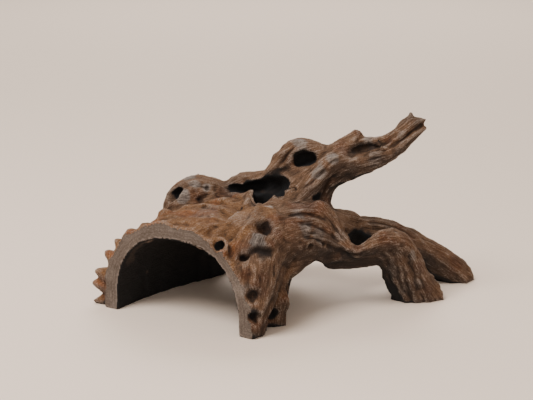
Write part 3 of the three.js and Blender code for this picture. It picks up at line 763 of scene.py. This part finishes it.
    def work_marks(self, skin: FineSkin) -> None:
        """Works the knots, pits, lumps and cracks into the surface.

        Args:
            skin: The fine mesh.
        """
        skin.filled = np.zeros(len(skin.points))
        skin.store()
        bm = bmesh.new()
        bm.from_mesh(skin.mesh)
        tree = BVHTree.FromBMesh(bm)
        bm.free()
        skin.before = skin.normals()
        for spot in SPOTS.values():
            seat = self.seat(tree, spot.pixel)
            if seat is not None:
                self.work_spot(skin, spot, seat)
        for crack in CRACKS.values():
            tried = [self.seat(tree, pixel) for pixel in crack.pixels]
            seats = [seat for seat in tried if seat is not None]
            self.work_crack(skin, crack, seats)

    def work_spot(self, skin: FineSkin, spot: Spot, seat: Seat) -> None:
        """Works one knot, pit or lump into the surface.

        Args:
            skin: The fine mesh.
            spot: The mark's sizes.
            seat: Its middle and the normal there.
        """
        middle, out = seat
        side = np.cross(out, [0.0, 0.0, 1.0])
        side /= max(float(np.linalg.norm(side)), 1e-6)
        over = np.cross(side, out)
        turn = math.radians(spot.turn)
        across = math.cos(turn) * side + math.sin(turn) * over
        up = -math.sin(turn) * side + math.cos(turn) * over
        offset = skin.points - middle
        wobble = 1 + 0.18 * self.noise.at(skin.points + 300.0, 5.0)
        near = np.hypot(offset @ across / spot.wide, offset @ up / spot.tall) * wobble
        deep = np.exp(-((offset @ out) / (2.5 * max(spot.wide, spot.tall))) ** 2)
        facing = ease(skin.before @ out, -0.2, 0.4) * skin.loose * deep
        if spot.mark is Mark.KNOT:
            ring = 0.42 * spot.depth * hump(near, 1.0, 0.32)
            hole = -spot.depth * np.exp(-((near / 0.72) ** 4))
            height = ring + hole
        elif spot.mark is Mark.PIT:
            height = -spot.depth * np.exp(-(near**4)) + 0.14 * spot.depth * hump(near, 1.4, 0.4)
        elif spot.mark is Mark.RING:
            height = spot.depth * hump(near, 1.0, 0.3)
        else:
            height = spot.depth * np.exp(-(near**2))
            skin.filled = np.maximum(skin.filled, np.exp(-((near / 1.3) ** 4)) * deep)
        skin.points += np.outer(height * facing, out)

    def work_crack(self, skin: FineSkin, crack: Crack, seats: Sequence[Seat]) -> None:
        """Works one groove into the surface.

        Args:
            skin: The fine mesh.
            crack: The groove's sizes.
            seats: Where it runs, and the normals there.
        """
        best = np.full(len(skin.points), np.inf)
        run = np.zeros(len(skin.points))
        for step, (low, high) in enumerate(zip(seats[:-1], seats[1:])):
            if np.linalg.norm(high[0] - low[0]) > 40.0:
                continue
            away, share = nearest_on(skin.points, low[0], high[0])
            closer = away < best
            best[closer] = away[closer]
            run[closer] = (step + share[closer]) / (len(seats) - 1)
        wander = 1 + 0.3 * self.noise.at(skin.points + 500.0, 6.0)
        taper = np.sqrt(np.clip(4 * run * (1 - run), 0.15, 1.0))
        cut = np.exp(-np.minimum(best * wander / crack.width, 6.0) ** 2 * 1.2)
        lips = 0.25 * hump(best * wander / crack.width, 1.9, 0.6)
        skin.points += skin.before * ((lips - cut) * crack.depth * taper * skin.loose)[:, None]

    def keep_values(self, skin: FineSkin) -> None:
        """Stores what the finishes read: grain, bark, shelter, ridges and the tints, painted shade
        among them.

        Args:
            skin: The fine mesh.
        """
        normals = skin.normals()
        even = skin.blur(skin.points, 6)
        swell = np.einsum("ij,ij->i", skin.points - even, normals)
        skin.keep("grain", skin.ways)
        skin.keep("bark", skin.shares[Surface.BARK])
        # How far each point faces up; the finish paints shade on the surfaces that face down
        skin.keep("facing", skin.blur(normals[:, 2], 8))
        # The finish paints shade, near black, where the shelter is high: in the deep hollows and
        # the tunnel
        skin.keep("shelter", skin.shelter * (1 - 0.7 * skin.filled))
        skin.keep("swell", skin.blur(np.clip(0.5 + 0.8 * swell, 0.0, 1.0), 1))
        self.keep_edges(skin)
        for tint in Tint:
            skin.keep(tint.value, self.tinted(skin, tint))

    def keep_edges(self, skin: FineSkin) -> None:
        """Stores how far each sawn point lies from the mouth's edge and from the outer rim.

        Args:
            skin: The fine mesh.
        """
        out, offset = self.saw_plane()
        mouth = np.where(skin.sawn == 1.0, 1.0, 0.0)
        edge = (mouth == 0.0) & (skin.spread(mouth) > 0.0)
        inner = edge & (skin.shelter > np.median(skin.shelter[edge]))
        for name, chosen in (("from_mouth", inner), ("from_rim", edge & ~inner)):
            away = np.full(len(skin.points), FAR)
            on_face = np.flatnonzero(skin.points @ out > offset - FACE_REACH)
            near = skin.points[chosen][::3]
            for part in np.array_split(on_face, 20):
                gaps = np.linalg.norm(skin.points[part][:, None] - near[None], axis=2)
                away[part] = gaps.min(axis=1)
            skin.keep(name, away)

    def tinted(self, skin: FineSkin, tint: Tint) -> Array:
        """Works out how strongly one tint lies at each point.

        Args:
            skin: The fine mesh.
            tint: The tint.

        Returns:
            One value a point, from 0 to 1.
        """
        total = np.zeros(len(skin.points))
        fray = 1 + 0.45 * self.noise.at(skin.points + 700.0, 7.0)
        for across, down, radius, strength in PATCHES[tint]:
            seat = self.seat(skin.tree, (across, down))
            if seat is None:
                continue
            away = np.linalg.norm(skin.points - seat[0], axis=1) * fray
            share = 1 - ease(away, PATCH_CORE * radius, PATCH_RIM * radius)
            total = np.maximum(total, strength * share)
        shift, strength = WILD[tint]
        wild = ease(self.noise.at(skin.points + shift, 24.0), 0.1, 0.6) * strength
        return np.clip(np.maximum(total, wild), 0.0, 1.0)

    def dress(self, root: bpy.types.Object, sawn: Array) -> None:
        """Puts the finishes on and gives each face its own.

        Args:
            root: The finished mesh's object.
            sawn: The sawn points.
        """
        root.data.materials.append(WeatheredWood().make())
        root.data.materials.append(SawnEnd().make())
        corners = gathered(root.data.loops, "vertex_index", 1, np.int32)[:, 0]
        totals = gathered(root.data.polygons, "loop_total", 1, np.int32)[:, 0]
        count = len(totals)
        face_of = np.repeat(np.arange(count), totals)
        on_saw = (sawn[corners] > 0).astype(float)
        share = np.bincount(face_of, weights=on_saw, minlength=count) / totals
        root.data.polygons.foreach_set("material_index", (share > SAWN_SHARE).astype(np.int32))
        root.data.polygons.foreach_set("use_smooth", np.ones(count, dtype=bool))
        root.data.update()


Socket = bpy.types.NodeSocket
Feed = Socket | float | tuple[float, ...]
Colour = tuple[float, float, float, float]


def linear(red: int, green: int, blue: int) -> Colour:
    """Turns a display colour, 0 to 255 a channel, into the shaders' linear one."""

    def channel(value: int) -> float:
        share = value / 255
        return share / 12.92 if share <= 0.04045 else ((share + 0.055) / 1.055) ** 2.4

    return (channel(red), channel(green), channel(blue), 1.0)


class Graph:
    """Adds nodes to one shader tree and joins them."""

    def __init__(self, tree: bpy.types.NodeTree) -> None:
        """Keeps the tree."""
        self.tree = tree

    def add(self, kind: str, **settings: object) -> bpy.types.Node:
        """Adds a node and gives it its settings."""
        node = self.tree.nodes.new(kind)
        count = len(self.tree.nodes)
        node.location = (190 * (count % 10), -260 * (count // 10))
        for name, value in settings.items():
            setattr(node, name, value)
        return node

    def feed(self, socket: Socket, value: Feed) -> None:
        """Joins an output to a socket, or sets the socket to a value."""
        if isinstance(value, Socket):
            self.tree.links.new(value, socket)
        else:
            socket.default_value = value

    def maths(self, operation: str, first: Feed, second: Feed = 0.0) -> Socket:
        """Returns the outcome of one sum."""
        node = self.add("ShaderNodeMath", operation=operation)
        self.feed(node.inputs[0], first)
        self.feed(node.inputs[1], second)
        return node.outputs[0]

    def plus(self, first: Feed, second: Feed) -> Socket:
        """Returns the sum of two values."""
        return self.maths("ADD", first, second)

    def less(self, first: Feed, second: Feed) -> Socket:
        """Returns the first value less the second."""
        return self.maths("SUBTRACT", first, second)

    def times(self, first: Feed, second: Feed) -> Socket:
        """Returns the product of two values."""
        return self.maths("MULTIPLY", first, second)

    def total(self, *parts: tuple[Feed, float]) -> Socket:
        """Returns the sum of values, each times its weight."""
        whole = self.times(*parts[0])
        for value, weight in parts[1:]:
            whole = self.plus(whole, self.times(value, weight))
        return whole

    def eased(self, value: Feed, low: float, high: float) -> Socket:
        """Returns value eased from 0 at low to 1 at high."""
        node = self.add("ShaderNodeMapRange", interpolation_type="SMOOTHSTEP")
        for socket, amount in zip(node.inputs[:5], (value, low, high, 0.0, 1.0)):
            self.feed(socket, amount)
        return node.outputs[0]

    def noise(self, place: Feed, scale: Feed, detail: float, rough: float = 0.6) -> Socket:
        """Returns cloudy noise, from 0 to 1."""
        node = self.add("ShaderNodeTexNoise")
        self.feed(node.inputs["Vector"], place)
        self.feed(node.inputs["Scale"], scale)
        self.feed(node.inputs["Detail"], detail)
        self.feed(node.inputs["Roughness"], rough)
        return node.outputs[0]

    def mix(self, share: Feed, first: Feed, second: Feed) -> Socket:
        """Returns one colour turning to another by share."""
        node = self.add("ShaderNodeMix", data_type="RGBA", clamp_factor=True)
        for index, value in ((0, share), (6, first), (7, second)):
            self.feed(node.inputs[index], value)
        return node.outputs[2]

    def blend(self, share: Feed, first: Feed, second: Feed) -> Socket:
        """Returns one value turning to another by share."""
        node = self.add("ShaderNodeMix", data_type="FLOAT")
        for index, value in ((0, share), (2, first), (3, second)):
            self.feed(node.inputs[index], value)
        return node.outputs[0]

    def ramp(self, value: Feed, stops: Sequence[tuple[float, Colour]]) -> Socket:
        """Returns a colour read from a ramp: its first stop, its last, then those between."""
        node = self.add("ShaderNodeValToRGB")
        made = node.color_ramp.elements
        for index, (place, colour) in enumerate(stops):
            stop = made[index] if index < 2 else made.new(place)
            stop.position = place
            stop.color = colour
        self.feed(node.inputs[0], value)
        return node.outputs[0]

    def read(self, name: str, output: str = "Fac") -> Socket:
        """Returns a value that the mesh stores on its points."""
        return self.add("ShaderNodeAttribute", attribute_name=name).outputs[output]

    def place(self) -> Socket:
        """Returns the place on the object, in metres."""
        return self.add("ShaderNodeTexCoord").outputs["Object"]

    def finish(self, colour: Feed, height: Feed, bump: Pair, gloss: Pair) -> None:
        """Ends the tree in one shader.

        Args:
            colour: The surface's colour.
            height: The bump's height.
            bump: Its strength, and its distance in mm.
            gloss: The surface's roughness and its specular level.
        """
        relief = self.add("ShaderNodeBump")
        for name, value in zip(("Strength", "Distance", "Height"), (bump[0], bump[1] * MM, height)):
            self.feed(relief.inputs[name], value)
        shader = self.add("ShaderNodeBsdfPrincipled")
        for name, value in zip(
            ("Base Color", "Roughness", "Specular IOR Level", "Normal"),
            (colour, *gloss, relief.outputs[0]),
        ):
            self.feed(shader.inputs[name], value)
        self.feed(self.add("ShaderNodeOutputMaterial").inputs["Surface"], shader.outputs[0])


def blank_material(name: str) -> tuple[bpy.types.Material, Graph]:
    """Returns a new material and the graph of its empty tree."""
    material = bpy.data.materials.new(name)
    material.use_nodes = True
    material.node_tree.nodes.clear()
    return material, Graph(material.node_tree)


class StreakGroup:
    """The shared node group that draws noise out along a direction."""

    name = "grain_streaks"
    taps = tuple(step / 6 for step in range(-6, 7))
    contrast = 3.4  # makes up for what the averaging takes off

    @classmethod
    def tree(cls) -> bpy.types.NodeTree:
        """Returns the group, made on its first use."""
        found = bpy.data.node_groups.get(cls.name)
        if found is not None:
            return found
        tree = bpy.data.node_groups.new(cls.name, "ShaderNodeTree")
        for name, kind in (("Place", "NodeSocketVector"), ("Way", "NodeSocketVector")):
            tree.interface.new_socket(name, in_out="INPUT", socket_type=kind)
        for name in ("Scale", "Reach"):
            tree.interface.new_socket(name, in_out="INPUT", socket_type="NodeSocketFloat")
        tree.interface.new_socket("Streak", in_out="OUTPUT", socket_type="NodeSocketFloat")
        graph = Graph(tree)
        given = graph.add("NodeGroupInput").outputs
        whole: Feed = 0.0
        for tap in cls.taps:
            step = graph.add("ShaderNodeVectorMath", operation="SCALE")
            graph.feed(step.inputs[0], given["Way"])
            graph.feed(step.inputs["Scale"], graph.times(given["Reach"], tap))
            moved = graph.add("ShaderNodeVectorMath", operation="ADD")
            graph.feed(moved.inputs[0], given["Place"])
            graph.feed(moved.inputs[1], step.outputs[0])
            whole = graph.plus(whole, graph.noise(moved.outputs[0], given["Scale"], 1.0, 0.5))
        mean = graph.maths("DIVIDE", whole, float(len(cls.taps)))
        spread = graph.plus(graph.times(graph.less(mean, 0.5), cls.contrast), 0.5)
        graph.feed(graph.add("NodeGroupOutput").inputs["Streak"], spread)
        return tree

    @classmethod
    def use(cls, graph: Graph, size: float, reach: float) -> Socket:
        """Adds the group to a material.

        Args:
            graph: The material's graph.
            size: The streaks' width in mm.
            reach: Half their length in mm.

        Returns:
            The streaks, from about 0 to 1.
        """
        node = graph.add("ShaderNodeGroup", node_tree=cls.tree())
        graph.feed(node.inputs["Place"], graph.place())
        graph.feed(node.inputs["Way"], graph.read("grain", "Vector"))
        graph.feed(node.inputs["Scale"], 1.0 / (size * MM))
        graph.feed(node.inputs["Reach"], reach * MM)
        return node.outputs["Streak"]


@dataclass(frozen=True)
class WeatheredWood:
    """Dry brown wood: long grain, crusty bark on the log, silvered and rusty patches, painted shade
    and highlights.
    """

    name: str = "weathered_wood"
    # The darkest tone: painted shade in the creases, and the darkest grain
    crevice: Colour = linear(32, 25, 20)
    dark: Colour = linear(62, 46, 35)
    middle: Colour = linear(121, 90, 67)
    pale: Colour = linear(184, 150, 120)
    bark: Colour = linear(114, 79, 51)
    bark_pale: Colour = linear(176, 134, 94)
    silver: Colour = linear(168, 156, 146)
    silver_dark: Colour = linear(68, 60, 55)
    rust: Colour = linear(162, 97, 54)
    rust_dark: Colour = linear(84, 50, 31)
    # Pale grey on ridges and specks: dry-brushed paint, with a painted highlight
    dry_brush_and_painted_highlight: Colour = linear(176, 160, 146)
    # The next two: painted shade on the surfaces that face down, darker and greyer
    under: Colour = linear(146, 128, 115)
    underside_shade_dark: Colour = linear(60, 50, 44)
    # near black: painted shade deep in the hollows, the holes and the tunnel
    inside: Colour = linear(33, 32, 32)
    # the painted shade's dark grey, also that of the random dark stains
    painted_shade_and_stain_colour: Colour = linear(44, 39, 37)
    gloss: Pair = (0.82, 0.15)
    bump: Pair = (1.0, 1.3)
    fine: Pair = (1.1, 4.5)  # the streaks' width and half their length in mm
    broad: Pair = (2.6, 9.0)
    crust: Place = (620.0, 6.0, 0.75)  # the noise's scale, detail and roughness
    speck: Place = (1050.0, 3.0, 0.75)
    cloud: Place = (70.0, 4.0, 0.6)
    low_tone: float = 0.33  # the tone that turns black on bare wood
    low_bark: float = 0.16  # how much higher it is on bark
    fray: float = 0.5  # how far the streaks break up the patches
    rust_share: float = 0.75
    silver_share: float = 0.8
    underside_shade_share: float = 0.85
    dry_brush_and_highlight_share: float = 0.45
    painted_shade_and_stain_share: float = 0.85

    def make(self) -> bpy.types.Material:
        """Returns the material."""
        material, graph = blank_material(self.name)
        place = graph.place()
        fine = StreakGroup.use(graph, *self.fine)
        broad = StreakGroup.use(graph, *self.broad)
        crust = graph.noise(place, *self.crust)
        speck = graph.noise(place, *self.speck)
        cloud = graph.noise(place, *self.cloud)
        bark = graph.eased(graph.read("bark"), 0.35, 0.7)
        swell = graph.read("swell")
        # The swell lifts the tone on ridges and drops it in creases: painted highlight and painted
        # shade
        painted_relief_shading = graph.eased(swell, 0.05, 0.6)
        tone = graph.less(
            graph.blend(
                bark,
                graph.total((painted_relief_shading, 0.24), (fine, 0.42), (broad, 0.1), (cloud, 0.2), (speck, 0.3)),
                graph.total((painted_relief_shading, 0.26), (fine, 0.1), (crust, 0.8), (cloud, 0.2), (speck, 0.6)),
            ),
            graph.plus(self.low_tone, graph.times(bark, self.low_bark)),
        )
        fray = graph.times(graph.less(fine, 0.5), self.fray)
        limb = graph.ramp(
            tone, ((0.0, self.crevice), (0.92, self.pale), (0.22, self.dark), (0.5, self.middle))
        )
        crusty = graph.ramp(
            tone, ((0.0, self.crevice), (1.0, self.bark_pale), (0.3, self.dark), (0.6, self.bark))
        )
        rusty = graph.ramp(tone, ((0.05, self.crevice), (0.85, self.rust), (0.4, self.rust_dark)))
        silvered = graph.ramp(
            tone, ((0.05, self.crevice), (0.62, self.silver), (0.26, self.silver_dark))
        )
        rust = graph.eased(graph.less(graph.read("rust"), fray), 0.15, 0.95)
        silver = graph.eased(graph.plus(graph.read("silver"), fray), 0.15, 0.85)
        colour = graph.mix(bark, limb, crusty)
        colour = graph.mix(graph.times(rust, self.rust_share), colour, rusty)
        colour = graph.mix(graph.times(silver, self.silver_share), colour, silvered)
        # The less a surface faces up, the darker and greyer it is painted: painted shade on sides
        # and undersides
        lower = graph.ramp(tone, ((0.1, self.crevice), (0.9, self.under), (0.45, self.underside_shade_dark)))
        below = graph.less(1.0, graph.eased(graph.read("facing"), -0.35, 0.4))
        colour = graph.mix(graph.times(below, self.underside_shade_share), colour, lower)
        # Ridges and specks turn pale grey: dry-brushed paint, partly a painted highlight
        dry_brush_and_painted_highlight = graph.eased(graph.total((swell, 0.6), (speck, 1.1), (fine, 0.6)), 1.2, 1.55)
        colour = graph.mix(graph.times(dry_brush_and_painted_highlight, self.dry_brush_and_highlight_share), colour, self.dry_brush_and_painted_highlight)
        # Painted shade where the patches lie in holes, creases and undersides, with random dark
        # stains
        shade = graph.times(graph.read("shade"), self.painted_shade_and_stain_share)
        colour = graph.mix(shade, colour, self.painted_shade_and_stain_colour)
        # Painted shade: near black in the sheltered hollows and holes, and in the tunnel just
        # behind the mouth's inner edge
        lip = graph.less(1.0, graph.eased(graph.read("from_mouth"), 3.0, 8.0))
        deep = graph.maths("MAXIMUM", lip, graph.eased(graph.read("shelter"), 0.38, 0.65))
        colour = graph.mix(deep, colour, self.inside)
        height = graph.total((fine, 0.55), (broad, 0.2), (crust, 1.05), (speck, 0.4))
        graph.finish(colour, height, self.bump, self.gloss)
        return material


@dataclass(frozen=True)
class SawnEnd:
    """The mouth's sawn face: speckled grey-brown, with lines that follow its rim and a painted
    highlight along its inner edge.
    """

    name: str = "sawn_wood"
    dark: Colour = linear(42, 35, 30)
    middle: Colour = linear(90, 78, 69)
    pale: Colour = linear(138, 126, 116)
    # The painted highlight along the mouth's inner edge
    edge: Colour = linear(130, 118, 109)
    gloss: Pair = (0.85, 0.2)
    bump: Pair = (0.3, 0.9)
    speck: Place = (900.0, 5.0, 0.75)  # the noise's scale, detail and roughness
    cloud: Place = (90.0, 3.0, 0.6)
    wander: float = 2.0  # mm
    line_scale: float = 0.9  # saw lines a mm
    low_tone: float = 0.42
    edge_highlight_share: float = 0.6
    rim_share: float = 0.5

    def make(self) -> bpy.types.Material:
        """Returns the material."""
        material, graph = blank_material(self.name)
        place = graph.place()
        speck = graph.noise(place, *self.speck)
        cloud = graph.noise(place, *self.cloud)
        wander = graph.times(graph.less(cloud, 0.5), self.wander)
        inner = graph.plus(graph.read("from_mouth"), wander)
        outer = graph.plus(graph.read("from_rim"), wander)
        lines = graph.add("ShaderNodeTexNoise", noise_dimensions="1D")
        for name, value in (("W", inner), ("Scale", self.line_scale), ("Detail", 3.0)):
            graph.feed(lines.inputs[name], value)
        tone = graph.total((lines.outputs[0], 0.5), (speck, 1.0), (cloud, 0.4))
        paler = graph.plus(tone, graph.times(graph.read("silver"), 0.2))
        colour = graph.ramp(
            graph.less(paler, self.low_tone),
            ((0.1, self.dark), (0.95, self.pale), (0.5, self.middle)),
        )
        # A pale band along the mouth's inner edge: a painted highlight
        edge = graph.less(1.0, graph.eased(inner, 1.4, 2.8))
        colour = graph.mix(graph.times(edge, self.edge_highlight_share), colour, self.edge)
        rim = graph.less(1.0, graph.eased(outer, 0.4, 2.4))
        colour = graph.mix(graph.times(rim, self.rim_share), colour, self.dark)
        graph.finish(colour, tone, self.bump, self.gloss)
        return material


@dataclass(frozen=True)
class Lamp:
    """A soft light: where it hangs and points, its side, all in metres, and its power in watts."""

    place: Place
    aim: Place
    side: float
    power: float


LAMPS: dict[str, Lamp] = {
    "key": Lamp((-0.8, -0.6, 1.6), (0.0, 0.0, 0.07), 0.8, 36.0),
    "front": Lamp((0.3, -1.8, 0.9), (0.0, 0.0, 0.07), 1.2, 7.0),
    "backdrop": Lamp((0.0, 3.2, 3.0), (0.0, 3.4, 0.0), 3.0, 130.0),
}


@dataclass
class Studio:
    """The pale floor, the soft lights and the camera at the photograph's angle."""

    floor_half: float = 6.0
    floor_roughness: float = 0.7
    floor_colour: Colour = linear(242, 219, 199)
    sky_colour: Colour = linear(250, 240, 230)
    sky_strength: float = 0.5

    def build(self) -> None:
        """Makes the floor, the sky, the lights and the camera."""
        self.floor()
        self.sky()
        for name, lamp in LAMPS.items():
            self.hang(name, lamp)
        self.camera()

    def floor(self) -> None:
        """Lays the floor."""
        bm = bmesh.new()
        bmesh.ops.create_grid(bm, x_segments=1, y_segments=1, size=self.floor_half)
        mesh = bpy.data.meshes.new("floor")
        bm.to_mesh(mesh)
        bm.free()
        material = bpy.data.materials.new("pale_floor")
        material.use_nodes = True
        shader = material.node_tree.nodes["Principled BSDF"]
        shader.inputs["Base Color"].default_value = self.floor_colour
        shader.inputs["Roughness"].default_value = self.floor_roughness
        mesh.materials.append(material)
        floor = placed("floor", mesh)

    def sky(self) -> None:
        """Gives the room its even light."""
        world = bpy.data.worlds.new("studio")
        bpy.context.scene.world = world
        world.use_nodes = True
        light = world.node_tree.nodes["Background"]
        light.inputs["Color"].default_value = self.sky_colour
        light.inputs["Strength"].default_value = self.sky_strength

    def hang(self, name: str, lamp: Lamp) -> None:
        """Hangs one soft light.

        Args:
            name: The light's name.
            lamp: Its place, aim, side and power.
        """
        data = bpy.data.lights.new(name, "AREA")
        data.size = lamp.side
        data.energy = lamp.power
        light = placed(name, data)
        light.location = lamp.place
        way = Vector(lamp.aim) - Vector(lamp.place)
        light.rotation_euler = way.to_track_quat("-Z", "Y").to_euler()

    def camera(self) -> None:
        """Sets the camera where the photograph was taken."""
        data = bpy.data.cameras.new("camera")
        data.sensor_width = PHOTO.sensor
        data.lens = PHOTO.lens
        camera = placed("camera", data)
        camera.location = PHOTO.place()
        camera.rotation_euler = (math.radians(90.0 - PHOTO.pitch), 0.0, 0.0)
        bpy.context.scene.camera = camera


def main() -> None:
    """Builds the root, then its studio, and reports each piece."""
    logging.basicConfig(level=logging.INFO, format="%(name)s: %(message)s")
    root = DriftwoodRoot().build()
    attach(root, "root")
    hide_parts(NODE)
    Studio().build()
    LOG.info("studio: floor, sky, lights and camera")


if __name__ == "__main__":
    main()
